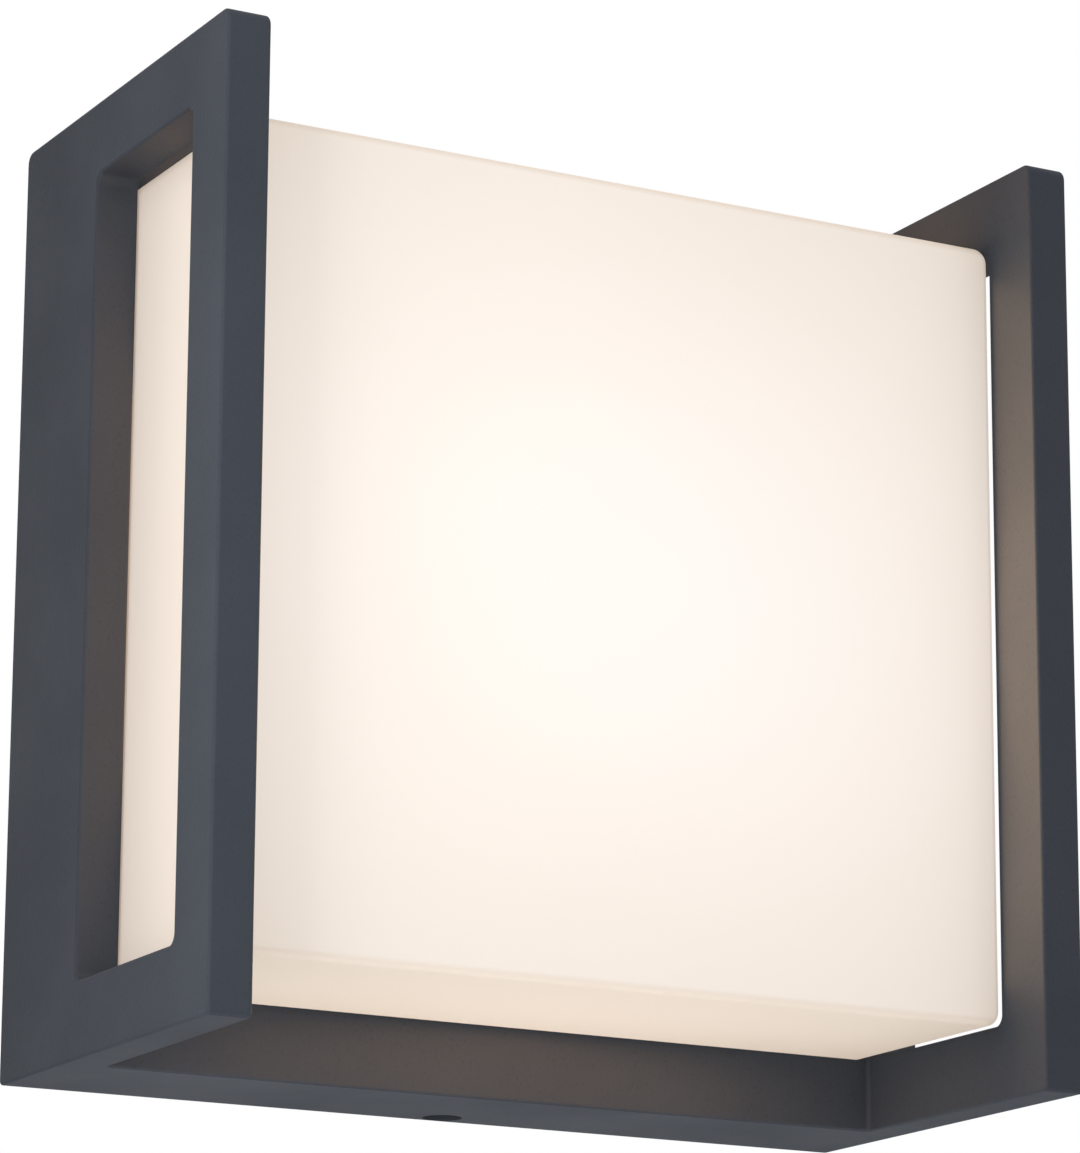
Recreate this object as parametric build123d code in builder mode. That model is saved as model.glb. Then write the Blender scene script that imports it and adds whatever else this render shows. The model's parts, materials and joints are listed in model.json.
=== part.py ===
from build123d import *
import math
import os

# Square LED wall lantern. Millimetres, +Z up, +Y into the wall. The origin is the middle of the wall face,
# so a depth d in front of the wall is Y = -d, and Plane.XZ.offset(d) faces the room at that depth.

# ---- Driving dimensions -------------------------------------------------------------------------------
# Whole lantern
width = 154.0
height = 156.0
depth = 80.0

# Housing casting
plate_t = 7.3            # side plates
box_depth = 27.0         # wall to the front of the back box
wall_t = 3.0             # walls of the back box
web_t = 4.0              # front wall of the back box
corner_top_r = 2.0       # corners seen from the side
corner_bottom_r = 0.8
edge_r = 0.5             # broken edges of the plates
root_r = 0.75            # where the plates meet the back box
cavity_r = 3.0           # corners of the rear cavity
window_margin = 12.4     # casting above and below each window
window_front_bar = 12.7  # casting in front of each window
window_rear = 30.6       # wall to the rear edge of each window
window_r = 1.8

# Wall gasket
gasket_t = 1.0
gasket_inset = 0.8       # from the outer edge of the rim
gasket_w = 1.8
gasket_r = 2.5

# Wall bracket
bracket_t = 1.5
bracket_w = 90.0
bracket_bend_r = 1.0
bracket_corner_r = 4.0
ear_reach = 13.5         # wall to the tips of the ears
top_ear_w = 60.0
bottom_ear_w = 40.0
slot_spacing = 60.0
slot_w = 5.2
slot_length = 14.0
cable_rise = 25.5        # from the bottom ear to the cable's axis
cable_hole_r = 8.0
guide_t = 2.0            # ribs beside the top ear
guide_h = 3.0

# Cable bush
bush_flange = 2.0
bush_flange_t = 1.2
bush_bore_r = 5.0

# Locking screw and its boss
lock_depth = 5.3         # wall to the screw's axis
lock_r = 1.75
lock_head_r = 3.0
lock_head_h = 2.4
lock_slot_w = 0.9
lock_slot_deep = 1.1
lock_recess_r = 3.3
lock_recess_deep = 3.2
lock_boss_w = 11.0
lock_boss_h = 9.0        # from the underside of the housing
lock_stand = 1.3         # tip above the boss

# Diffuser
diffuser_front = 68.0    # wall to its face
diffuser_margin = 12.0   # casting above and below it
diffuser_t = 2.5
diffuser_r = 2.5
diffuser_edge_r = 1.2
diffuser_inner_r = 1.2
diffuser_side_gap = 0.4
rim_gap = 0.3            # rim off the casting, held by the seal
post_r = 3.5
post_merge = 0.8         # how far a post sinks into both walls
post_l = 12.0

# Diffuser seal
seal_w = 1.6
groove_deep = 1.2

# Reflector and its rivets
reflector_t = 0.8
reflector_gap = 0.8
rivet_x = 52.0
rivet_z = 48.0
rivet_r = 1.5
rivet_head_r = 2.6
rivet_head_h = 1.1
rivet_l = 3.6

# LED board
pad_size = 57.0
pad_t = 0.5
board_size = 60.0
board_t = 1.6
board_r = 2.0
board_hole_at = 26.0
chip_pitch = 11.0
chip_rows = 4
chip_l = 3.5
chip_w = 2.8
chip_h = 0.7
plug_w = 8.0
plug_h = 6.0
plug_t = 3.8
plug_edge = 1.5          # from the lower edge of the board

# Lead grommet
lead_x = 19.0
lead_z = -38.0
lead_r = 0.75
lead_pitch = 2.6
lead_spread = 2.0        # how far the leads bow apart
lead_sag = 4.0           # and back towards the wall
lead_low_sag = 3.5
grommet_r = 4.0
grommet_flange = 1.8
grommet_flange_t = 1.2

# Driver
driver_z = 34.0
driver_w = 80.0
driver_h = 32.0
driver_d = 16.0
case_t = 1.6
case_r = 2.0
tab_w = 9.0
tab_h = 12.0
tab_t = 2.0
foot_h = 2.0
foot_r = 2.0
pcb_t = 1.6
pcb_gap = 0.5            # circuit board off the case, all round
transformer_w = 14.0
transformer_h = 16.0
transformer_t = 7.8
transformer_r = 1.0
winding_over = 2.0       # winding wider than the core
winding_under = 5.0      # and shorter than it
capacitor_r = 3.6
capacitor_l = 12.0
capacitor_x = 22.0
choke_r = 3.5
choke_l = 7.0
choke_groove = 0.2 * choke_r
choke_x = -22.0
mains_x = -26.0          # neutral lead into the driver
mains_pitch = 6.0
lead_inside = 4.0        # wire ends past the case's lower wall

# Terminal block
block_x = -22.0
block_z = -22.0
pole_pitch = 9.0
block_h = 18.0
block_t = 12.0
block_edge = 1.1         # polyamide outside the outer poles
block_r = 1.0
clamp_w = 5.0
clamp_t = 6.4
clamp_l = 15.0
clamp_bore_r = 1.7
grip_r = 1.3             # clamping screws
grip_l = 4.0
grip_at = 4.2            # from the middle of the block
wire_r = 0.95

# Earth point
earth_x = -58.0
earth_z = -30.0
earth_boss_r = 5.0
earth_boss_h = 3.0
earth_r = 1.95
earth_head_r = 3.5
earth_head_h = 2.6
earth_l = 6.0
lug_t = 0.8
lug_r = 4.2
lug_barrel_r = 1.6
lug_barrel_l = 7.0
lug_clear = 0.6          # barrel off the earth boss
washer_t = 0.8
washer_r = 3.8
washer_teeth = 12
notch_deep = 0.45        # between the teeth
notch_w = 0.6

# Small screws
m3_r = 1.45
m3_head_r = 2.75
m3_head_h = 2.0
diffuser_screw_l = 11.0
fixing_bite = 2.8        # thread of a fixing in the web

# Clearances
run_gap = 0.3            # between the bracket and the lantern
tip_gap = 0.2            # screw tip under the ear
thread_gap = 0.05        # screw in its tapped hole
pass_gap = 0.2           # screw or lead through a plain hole

# ---- Places worked out from the sizes --------------------------------------------------------------
bay_w = width - 2 * plate_t
cavity_w = width - 2 * wall_t
cavity_h = height - 2 * wall_t
floor_depth = box_depth - web_t
window_front = depth - window_front_bar
window_h = height - 2 * window_margin

diffuser_w = bay_w - 2 * diffuser_side_gap
diffuser_h = height - 2 * diffuser_margin
rim_depth = box_depth + rim_gap
post_x = diffuser_w / 2 - diffuser_t - post_r + post_merge
post_z = diffuser_h / 2 - diffuser_t - post_r + post_merge

top_ear_z = cavity_h / 2 - run_gap
boss_top_z = lock_boss_h - height / 2
tip_z = boss_top_z + lock_stand
bottom_ear_z = tip_z + tip_gap
cable_z = bottom_ear_z + cable_rise
lock_seat_z = lock_recess_deep - height / 2

pad_depth = box_depth + pad_t
board_depth = pad_depth + board_t
plug_z = plug_edge + plug_h / 2 - board_size / 2
plug_lead_depth = board_depth + plug_t / 2

case_floor_depth = floor_depth - case_t
pcb_back_depth = case_floor_depth - foot_h
pcb_depth = pcb_back_depth - pcb_t
driver_top_depth = floor_depth - driver_d
lid_depth = driver_top_depth + case_t
pcb_w = driver_w - 2 * (case_t + pcb_gap)
pcb_h = driver_h - 2 * (case_t + pcb_gap)
case_bottom_z = driver_z - driver_h / 2
tab_x = driver_w / 2 + tab_w / 2
lead_depth = pcb_depth - wire_r - thread_gap

clamp_depth = floor_depth - block_t / 2
block_w = 3 * pole_pitch + 2 * block_edge
block_top_z = block_z + block_h / 2
earth_seat = floor_depth - earth_boss_h
lug_top = earth_seat - lug_t
washer_top = lug_top - washer_t
lug_wire_depth = earth_seat - lug_t / 2
lug_barrel_z = earth_z + earth_boss_r + lug_clear
lug_end_z = lug_barrel_z + lug_barrel_l

os.makedirs("parts", exist_ok=True)


def save(piece, name):
    """Label a finished piece and write its STEP file."""
    piece.part.label = name
    export_step(piece.part, f"parts/{name}.step")


def facing_wall(x, d, z):
    """Plane at depth d that faces the wall."""
    return Plane(origin=(x, -d, z), x_dir=(1, 0, 0), z_dir=(0, 1, 0))


def facing_room(x, d, z):
    """Plane at depth d that faces the room."""
    return Plane(origin=(x, -d, z), x_dir=(1, 0, 0), z_dir=(0, -1, 0))


def pan_screw(shank_r, shank_l, head_r, head_h):
    """Pan-head screw with a cross recess: seat on XY, head up, shank down."""
    with BuildPart() as screw:
        with BuildSketch():
            Circle(head_r)
        extrude(amount=head_h)
        fillet(screw.edges().group_by(Axis.Z)[-1], head_h * 0.45)
        with BuildSketch(Plane.XY.offset(head_h)):
            Rectangle(head_r * 1.1, head_r * 0.28)
            Rectangle(head_r * 0.28, head_r * 1.1)
        extrude(amount=-head_h * 0.5, mode=Mode.SUBTRACT)
        with BuildSketch():
            Circle(shank_r)
        extrude(amount=-shank_l)
        chamfer(screw.edges().group_by(Axis.Z)[0], shank_r * 0.35)
    return screw.part


def corner_radii(points):
    """The largest even bend at each inner point of a route."""
    places = [Vector(*point) for point in points]
    radii = []
    for before, here, after in zip(places, places[1:], places[2:]):
        turn = math.radians((here - before).get_angle(after - here))
        shorter = min((here - before).length, (after - here).length)
        radii.append(0.45 * shorter / math.tan(turn / 2))
    return radii


def insulated_wire(points, radius, last_bend=None):
    """Round wire along straight runs joined by tangent arcs. Points are (x, depth, z)."""
    route = [(x, -d, z) for x, d, z in points]
    bends = corner_radii(route)
    if last_bend:
        bends[-1] = last_bend
    with BuildPart() as wire:
        with BuildLine() as path:
            FilletPolyline(*route, radius=bends)
        with BuildSketch(Plane(origin=path.line @ 0, z_dir=path.line % 0)):
            Circle(radius)
        sweep(path=path.line)
    return wire


# ---- Wall bracket -------------------------------------------------------------------------------------
# Bent steel plate against the wall. The lantern hangs on its top ear, and the screw bears on the bottom one.
with BuildPart() as wall_bracket:
    with BuildSketch(Plane.XZ):
        with Locations((0, (top_ear_z + bottom_ear_z) / 2)):
            RectangleRounded(bracket_w, top_ear_z - bottom_ear_z, bracket_corner_r)
    extrude(amount=bracket_t)
    for ear_z, ear_w, up in ((top_ear_z, top_ear_w, -1), (bottom_ear_z, bottom_ear_w, 1)):
        with BuildSketch(Plane.XY.offset(ear_z)):
            with Locations((0, -ear_reach / 2)):
                Rectangle(ear_w, ear_reach)
        extrude(amount=up * bracket_t)
    ear_tips = wall_bracket.edges().filter_by(Axis.Z).group_by(Axis.Y)[0]
    fillet(ear_tips, bracket_corner_r)
    bends = wall_bracket.edges().filter_by(Axis.X).filter_by_position(Axis.Y, -0.01, 0.01)
    fillet(bends, bracket_bend_r)
    with BuildSketch(Plane.XZ):
        with GridLocations(slot_spacing, 0, 2, 1):
            SlotOverall(slot_length, slot_w)
        with Locations((0, cable_z)):
            Circle(cable_hole_r)
    extrude(amount=bracket_t, mode=Mode.SUBTRACT)
save(wall_bracket, "wall_bracket")

# ---- Cable bush ---------------------------------------------------------------------------------------
with BuildPart() as cable_bush:
    with BuildSketch(Plane.XZ):
        with Locations((0, cable_z)):
            Circle(cable_hole_r - thread_gap)
    extrude(amount=bracket_t)
    with BuildSketch(Plane.XZ.offset(bracket_t)):
        with Locations((0, cable_z)):
            Circle(cable_hole_r + bush_flange)
    extrude(amount=bush_flange_t)
    fillet(cable_bush.edges().group_by(Axis.Y)[0], bush_flange_t * 0.4)
    with BuildSketch(Plane.XZ):
        with Locations((0, cable_z)):
            Circle(bush_bore_r)
    extrude(amount=bracket_t + bush_flange_t, mode=Mode.SUBTRACT)
save(cable_bush, "cable_bush")

# ---- Wall gasket --------------------------------------------------------------------------------------
with BuildPart() as wall_gasket:
    with BuildSketch(Plane.XZ):
        RectangleRounded(width - 2 * gasket_inset, height - 2 * gasket_inset, gasket_r)
        inner_w = width - 2 * (gasket_inset + gasket_w)
        inner_h = height - 2 * (gasket_inset + gasket_w)
        RectangleRounded(inner_w, inner_h, gasket_r * 0.6, mode=Mode.SUBTRACT)
    extrude(amount=gasket_t)
save(wall_gasket, "wall_gasket")

# ---- Housing ------------------------------------------------------------------------------------------
# One casting: a back box over the full height, and a windowed plate on each side of it.
with BuildPart() as housing:
    with BuildSketch(Plane.YZ.offset(-width / 2)) as side_view:
        with Locations((-(depth + gasket_t) / 2, 0)):
            Rectangle(depth - gasket_t, height)
        fillet(side_view.vertices().group_by(Axis.Y)[-1], corner_top_r)
        fillet(side_view.vertices().group_by(Axis.Y)[0], corner_bottom_r)
    extrude(amount=width)

    # the bay between the side plates, and a window through each of them
    with BuildSketch(Plane.XY.offset(-height / 2)) as bay_view:
        with Locations((0, -(box_depth + depth) / 2)):
            Rectangle(bay_w, depth - box_depth)
        fillet(bay_view.vertices().group_by(Axis.Y)[-1], root_r)
    extrude(amount=height, mode=Mode.SUBTRACT)
    with BuildSketch(Plane.YZ.offset(-width / 2)):
        with Locations((-(window_rear + window_front) / 2, 0)):
            RectangleRounded(window_front - window_rear, window_h, window_r)
    extrude(amount=width, mode=Mode.SUBTRACT)

    # edges broken all round, except along the roots where plate and box meet
    side_edges = housing.faces().filter_by(Axis.X).edges()
    root_depths = (-box_depth - root_r - 0.01, 0.01 - box_depth)
    roots = side_edges.filter_by(Axis.Z).filter_by_position(Axis.Y, *root_depths)
    root_ends = housing.edges().filter_by(GeomType.CIRCLE).filter_by_position(Axis.Y, *root_depths)
    box_front = housing.faces().filter_by(Axis.Y).filter_by_position(Axis.Y, -box_depth - 0.01, 0.01 - box_depth)
    fillet(side_edges - roots + root_ends + box_front.edges().filter_by(Axis.X), edge_r)

    # rear cavity
    with BuildSketch(Plane.XZ.offset(gasket_t)):
        RectangleRounded(cavity_w, cavity_h, cavity_r)
    extrude(amount=floor_depth - gasket_t, mode=Mode.SUBTRACT)

    # ribs that centre the lantern on the bracket's top ear
    with BuildSketch(Plane.XZ.offset(bracket_t + run_gap)):
        for side in (-1, 1):
            with Locations((side * (top_ear_w / 2 + run_gap + guide_t / 2), (cavity_h - guide_h) / 2)):
                Rectangle(guide_t, guide_h)
    extrude(amount=ear_reach - bracket_t)

    # boss, tapped hole and recess of the locking screw
    boss_front = lock_depth + lock_boss_w / 2
    with BuildSketch(Plane.XY.offset(-cavity_h / 2)) as boss_outline:
        with Locations((0, -(gasket_t + boss_front) / 2)):
            Rectangle(lock_boss_w, boss_front - gasket_t)
        fillet(boss_outline.vertices().group_by(Axis.Y)[0], lock_boss_w * 0.35)
    extrude(amount=lock_boss_h - wall_t)
    with Locations(Plane(origin=(0, -lock_depth, -height / 2), z_dir=(0, 0, -1))):
        CounterBoreHole(lock_r + thread_gap, lock_recess_r, lock_recess_deep, lock_boss_h)

    # groove of the diffuser's seal
    groove_w = seal_w + 2 * thread_gap
    with BuildSketch(Plane.XZ.offset(box_depth)):
        ring_w = diffuser_w - diffuser_t
        ring_h = diffuser_h - diffuser_t
        RectangleRounded(ring_w + groove_w, ring_h + groove_w, diffuser_r)
        RectangleRounded(ring_w - groove_w, ring_h - groove_w, diffuser_inner_r, mode=Mode.SUBTRACT)
    extrude(amount=-groove_deep, mode=Mode.SUBTRACT)

    # screw holes behind the diffuser's posts, and the hole of the lead grommet
    with BuildSketch(Plane.XZ.offset(floor_depth)):
        with GridLocations(2 * post_x, 2 * post_z, 2, 2):
            Circle(m3_r + pass_gap)
        with Locations((lead_x, lead_z)):
            Circle(grommet_r + thread_gap)
    extrude(amount=web_t, mode=Mode.SUBTRACT)

    # blind holes from the front: LED board and reflector
    with BuildSketch(Plane.XZ.offset(box_depth)):
        with GridLocations(2 * board_hole_at, 2 * board_hole_at, 2, 2):
            Circle(m3_r + thread_gap)
        with GridLocations(2 * rivet_x, 2 * rivet_z, 2, 2):
            Circle(rivet_r + thread_gap)
    extrude(amount=-fixing_bite - pass_gap, mode=Mode.SUBTRACT)

    # blind holes from the back: driver and terminal block
    with BuildSketch(Plane.XZ.offset(floor_depth)):
        with Locations((-tab_x, driver_z), (tab_x, driver_z)):
            Circle(m3_r + thread_gap)
        with Locations((block_x - pole_pitch / 2, block_z), (block_x + pole_pitch / 2, block_z)):
            Circle(m3_r + thread_gap)
    extrude(amount=fixing_bite + pass_gap, mode=Mode.SUBTRACT)

    # earth boss
    with BuildSketch(Plane.XZ.offset(floor_depth)):
        with Locations((earth_x, earth_z)):
            Circle(earth_boss_r)
    extrude(amount=-earth_boss_h)
    with BuildSketch(Plane.XZ.offset(earth_seat)):
        with Locations((earth_x, earth_z)):
            Circle(earth_r + thread_gap)
    extrude(amount=earth_l - lug_t - washer_t + pass_gap, mode=Mode.SUBTRACT)
save(housing, "housing")

# ---- Locking screw ------------------------------------------------------------------------------------
# Slotted cheese head in the recess under the housing. Its flat point stands just under the bottom ear.
with BuildPart() as locking_screw:
    with BuildSketch(Plane.XY.offset(lock_seat_z)):
        with Locations((0, -lock_depth)):
            Circle(lock_head_r)
    extrude(amount=-lock_head_h)
    fillet(locking_screw.edges().group_by(Axis.Z)[0], lock_head_h * 0.2)
    with BuildSketch(Plane.XY.offset(lock_seat_z - lock_head_h)):
        with Locations((0, -lock_depth)):
            Rectangle(2 * lock_head_r, lock_slot_w)
    extrude(amount=lock_slot_deep, mode=Mode.SUBTRACT)
    with BuildSketch(Plane.XY.offset(lock_seat_z)):
        with Locations((0, -lock_depth)):
            Circle(lock_r)
    extrude(amount=tip_z - lock_seat_z)
    chamfer(locking_screw.edges().group_by(Axis.Z)[-1], lock_r * 0.25)
save(locking_screw, "locking_screw")

# ---- Diffuser -----------------------------------------------------------------------------------------
# Opal box, open at the back, with a screw post in each corner.
with BuildPart() as diffuser:
    with BuildSketch(Plane.XZ.offset(rim_depth)):
        RectangleRounded(diffuser_w, diffuser_h, diffuser_r)
    extrude(amount=diffuser_front - rim_depth)
    fillet(diffuser.edges().group_by(Axis.Y)[0], diffuser_edge_r)
    with BuildSketch(Plane.XZ.offset(rim_depth)):
        RectangleRounded(diffuser_w - 2 * diffuser_t, diffuser_h - 2 * diffuser_t, diffuser_inner_r)
    extrude(amount=diffuser_front - diffuser_t - rim_depth, mode=Mode.SUBTRACT)
    with BuildSketch(Plane.XZ.offset(rim_depth)):
        with GridLocations(2 * post_x, 2 * post_z, 2, 2):
            Circle(post_r)
    extrude(amount=post_l)
    with BuildSketch(Plane.XZ.offset(rim_depth)):
        with GridLocations(2 * post_x, 2 * post_z, 2, 2):
            Circle(m3_r + thread_gap)
    extrude(amount=post_l - diffuser_t, mode=Mode.SUBTRACT)
save(diffuser, "diffuser")

# ---- Diffuser seal and screws ---------------------------------------------------------------------------
with BuildPart() as diffuser_seal:
    with BuildSketch(Plane.XZ.offset(box_depth - groove_deep)):
        RectangleRounded(ring_w + seal_w, ring_h + seal_w, diffuser_r)
        RectangleRounded(ring_w - seal_w, ring_h - seal_w, diffuser_inner_r, mode=Mode.SUBTRACT)
    extrude(amount=groove_deep + rim_gap)
save(diffuser_seal, "diffuser_seal")

with BuildPart() as diffuser_screws:
    corners = [(x, z) for x in (-post_x, post_x) for z in (-post_z, post_z)]
    with Locations(*[facing_wall(x, floor_depth, z) for x, z in corners]):
        add(pan_screw(m3_r, diffuser_screw_l, m3_head_r, m3_head_h))
save(diffuser_screws, "diffuser_screws")

# ---- Reflector ----------------------------------------------------------------------------------------
with BuildPart() as reflector:
    with BuildSketch(Plane.XZ.offset(box_depth)):
        reflector_w = diffuser_w - 2 * (diffuser_t + reflector_gap)
        reflector_h = diffuser_h - 2 * (diffuser_t + reflector_gap)
        RectangleRounded(reflector_w, reflector_h, diffuser_r)
        with GridLocations(2 * post_x, 2 * post_z, 2, 2):
            Circle(post_r + reflector_gap, mode=Mode.SUBTRACT)
        with GridLocations(2 * rivet_x, 2 * rivet_z, 2, 2):
            Circle(rivet_r + pass_gap, mode=Mode.SUBTRACT)
        Rectangle(board_size + 2 * reflector_gap, board_size + 2 * reflector_gap, mode=Mode.SUBTRACT)
        with Locations((lead_x, lead_z)):
            Circle(grommet_r + grommet_flange + reflector_gap, mode=Mode.SUBTRACT)
    extrude(amount=reflector_t)
save(reflector, "reflector")

with BuildPart() as reflector_rivets:
    with BuildSketch(Plane.XZ.offset(box_depth + reflector_t)):
        with GridLocations(2 * rivet_x, 2 * rivet_z, 2, 2):
            Circle(rivet_head_r)
    extrude(amount=rivet_head_h)
    fillet(reflector_rivets.edges().group_by(Axis.Y)[0], rivet_head_h * 0.6)
    with BuildSketch(Plane.XZ.offset(box_depth + reflector_t)):
        with GridLocations(2 * rivet_x, 2 * rivet_z, 2, 2):
            Circle(rivet_r)
    extrude(amount=-rivet_l)
save(reflector_rivets, "reflector_rivets")

# ---- LED board ----------------------------------------------------------------------------------------
with BuildPart() as thermal_pad:
    with BuildSketch(Plane.XZ.offset(box_depth)):
        Rectangle(pad_size, pad_size)
        with GridLocations(2 * board_hole_at, 2 * board_hole_at, 2, 2):
            Circle(m3_r + 2 * pass_gap, mode=Mode.SUBTRACT)
    extrude(amount=pad_t)
save(thermal_pad, "thermal_pad")

with BuildPart() as led_board:
    with BuildSketch(Plane.XZ.offset(pad_depth)):
        RectangleRounded(board_size, board_size, board_r)
        with GridLocations(2 * board_hole_at, 2 * board_hole_at, 2, 2):
            Circle(m3_r + pass_gap, mode=Mode.SUBTRACT)
    extrude(amount=board_t)
save(led_board, "led_board")

with BuildPart() as led_board_screws:
    corners = [(x, z) for x in (-board_hole_at, board_hole_at) for z in (-board_hole_at, board_hole_at)]
    with Locations(*[facing_room(x, board_depth, z) for x, z in corners]):
        add(pan_screw(m3_r, pad_t + board_t + fixing_bite, m3_head_r, m3_head_h))
save(led_board_screws, "led_board_screws")

with BuildPart() as led_chips:
    with BuildSketch(Plane.XZ.offset(board_depth)):
        with GridLocations(chip_pitch, chip_pitch, chip_rows, chip_rows):
            Rectangle(chip_w, chip_l)
    extrude(amount=chip_h)
    with BuildSketch(Plane.XZ.offset(board_depth + chip_h)):
        with GridLocations(chip_pitch, chip_pitch, chip_rows, chip_rows):
            RectangleRounded(chip_w * 0.72, chip_l * 0.76, chip_w * 0.25)
    extrude(amount=-chip_h * 0.35, mode=Mode.SUBTRACT)
save(led_chips, "led_chips")

plug_leads = [(lead_x + side * lead_pitch / 2, side) for side in (-1, 1)]
with BuildPart() as led_connector:
    with BuildSketch(Plane.XZ.offset(board_depth)):
        with Locations((lead_x, plug_z)):
            RectangleRounded(plug_w, plug_h, plug_t * 0.15)
    extrude(amount=plug_t)
    with BuildSketch(Plane.XY.offset(plug_z - plug_h / 2)):
        with Locations(*[(x, -plug_lead_depth) for x, side in plug_leads]):
            Circle(lead_r + thread_gap)
    extrude(amount=plug_h * 0.7, mode=Mode.SUBTRACT)
save(led_connector, "led_connector")

# ---- Lead grommet -------------------------------------------------------------------------------------
with BuildPart() as lead_grommet:
    with BuildSketch(Plane.XZ.offset(floor_depth - grommet_flange_t)):
        with Locations((lead_x, lead_z)):
            Circle(grommet_r)
    extrude(amount=web_t + 2 * grommet_flange_t)
    for flange_depth in (floor_depth - grommet_flange_t, box_depth):
        with BuildSketch(Plane.XZ.offset(flange_depth)):
            with Locations((lead_x, lead_z)):
                Circle(grommet_r + grommet_flange)
        extrude(amount=grommet_flange_t)
    with BuildSketch(Plane.XZ.offset(floor_depth - grommet_flange_t)):
        with Locations(*[(x, lead_z) for x, side in plug_leads]):
            Circle(lead_r + thread_gap)
    extrude(amount=web_t + 2 * grommet_flange_t, mode=Mode.SUBTRACT)
save(lead_grommet, "lead_grommet")

# ---- Driver case and lid ------------------------------------------------------------------------------
mains_holes = [mains_x, mains_x + mains_pitch]
with BuildPart() as driver_case:
    with BuildSketch(Plane.XZ.offset(floor_depth)):
        with Locations((0, driver_z)):
            RectangleRounded(driver_w, driver_h, case_r)
    extrude(amount=case_t - driver_d)
    with BuildSketch(Plane.XZ.offset(case_floor_depth)):
        with Locations((0, driver_z)):
            RectangleRounded(driver_w - 2 * case_t, driver_h - 2 * case_t, case_r * 0.6)
    extrude(amount=-driver_d, mode=Mode.SUBTRACT)

    # screw tabs at both ends, and feet under the circuit board
    with BuildSketch(Plane.XZ.offset(floor_depth)):
        for side in (-1, 1):
            with Locations((side * (tab_x - case_r / 2), driver_z)):
                RectangleRounded(tab_w + case_r, tab_h, case_r)
            with Locations((side * tab_x, driver_z)):
                Circle(m3_r + pass_gap, mode=Mode.SUBTRACT)
    extrude(amount=-tab_t)
    with BuildSketch(Plane.XZ.offset(case_floor_depth)):
        with Locations((0, driver_z)):
            with GridLocations(pcb_w - 3 * foot_r, pcb_h - 3 * foot_r, 2, 2):
                Circle(foot_r)
    extrude(amount=-foot_h)

    # lead holes in the lower wall
    with BuildSketch(Plane.XY.offset(case_bottom_z)):
        with Locations(*[(x, -lead_depth) for x in mains_holes]):
            Circle(wire_r + thread_gap)
        with Locations(*[(x, -lead_depth) for x, side in plug_leads]):
            Circle(lead_r + thread_gap)
    extrude(amount=case_t, mode=Mode.SUBTRACT)
save(driver_case, "driver_case")

with BuildPart() as driver_lid:
    with BuildSketch(Plane.XZ.offset(lid_depth)):
        with Locations((0, driver_z)):
            RectangleRounded(driver_w, driver_h, case_r)
    extrude(amount=-case_t)
    fillet(driver_lid.edges().group_by(Axis.Y)[-1], case_t * 0.4)
    with BuildSketch(Plane.XZ.offset(lid_depth)):
        with Locations((0, driver_z)):
            rib_w = driver_w - 2 * (case_t + pass_gap)
            rib_h = driver_h - 2 * (case_t + pass_gap)
            RectangleRounded(rib_w, rib_h, case_r * 0.5)
            RectangleRounded(rib_w - case_t, rib_h - case_t, case_r * 0.3, mode=Mode.SUBTRACT)
    extrude(amount=case_t * 0.5)
save(driver_lid, "driver_lid")

with BuildPart() as driver_screws:
    with Locations(*[facing_wall(side * tab_x, floor_depth - tab_t, driver_z) for side in (-1, 1)]):
        add(pan_screw(m3_r, tab_t + fixing_bite, m3_head_r, m3_head_h))
save(driver_screws, "driver_screws")

# ---- Driver circuit -----------------------------------------------------------------------------------
with BuildPart() as driver_board:
    with BuildSketch(Plane.XZ.offset(pcb_back_depth)):
        with Locations((0, driver_z)):
            Rectangle(pcb_w, pcb_h)
    extrude(amount=-pcb_t)
save(driver_board, "driver_board")

with BuildPart() as driver_transformer:
    with BuildSketch(Plane.XZ.offset(pcb_depth)):
        with Locations((0, driver_z)):
            RectangleRounded(transformer_w, transformer_h, transformer_r)
    extrude(amount=-transformer_t)
    with BuildSketch(Plane.XZ.offset(pcb_depth - transformer_t * 0.25)):
        with Locations((0, driver_z)):
            RectangleRounded(transformer_w + winding_over, transformer_h - winding_under, transformer_r)
    extrude(amount=-transformer_t * 0.5)
save(driver_transformer, "driver_transformer")

with BuildPart() as driver_capacitors:
    with BuildSketch(Plane.YZ.offset(capacitor_x - capacitor_l / 2)):
        for side in (-1, 1):
            with Locations((capacitor_r - pcb_depth, driver_z + side * (capacitor_r + pass_gap))):
                Circle(capacitor_r)
    extrude(amount=capacitor_l)
    fillet(driver_capacitors.edges(), capacitor_r * 0.15)
save(driver_capacitors, "driver_capacitors")

with BuildPart() as driver_choke:
    with BuildSketch(Plane.XZ.offset(pcb_depth)):
        with Locations((choke_x, driver_z)):
            Circle(choke_r)
    extrude(amount=-choke_l)
    with BuildSketch(Plane.XZ.offset(pcb_depth - choke_l * 0.2)):
        with Locations((choke_x, driver_z)):
            Circle(choke_r + choke_groove)
            Circle(choke_r - choke_groove, mode=Mode.SUBTRACT)
    extrude(amount=-choke_l * 0.6, mode=Mode.SUBTRACT)
save(driver_choke, "driver_choke")

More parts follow.
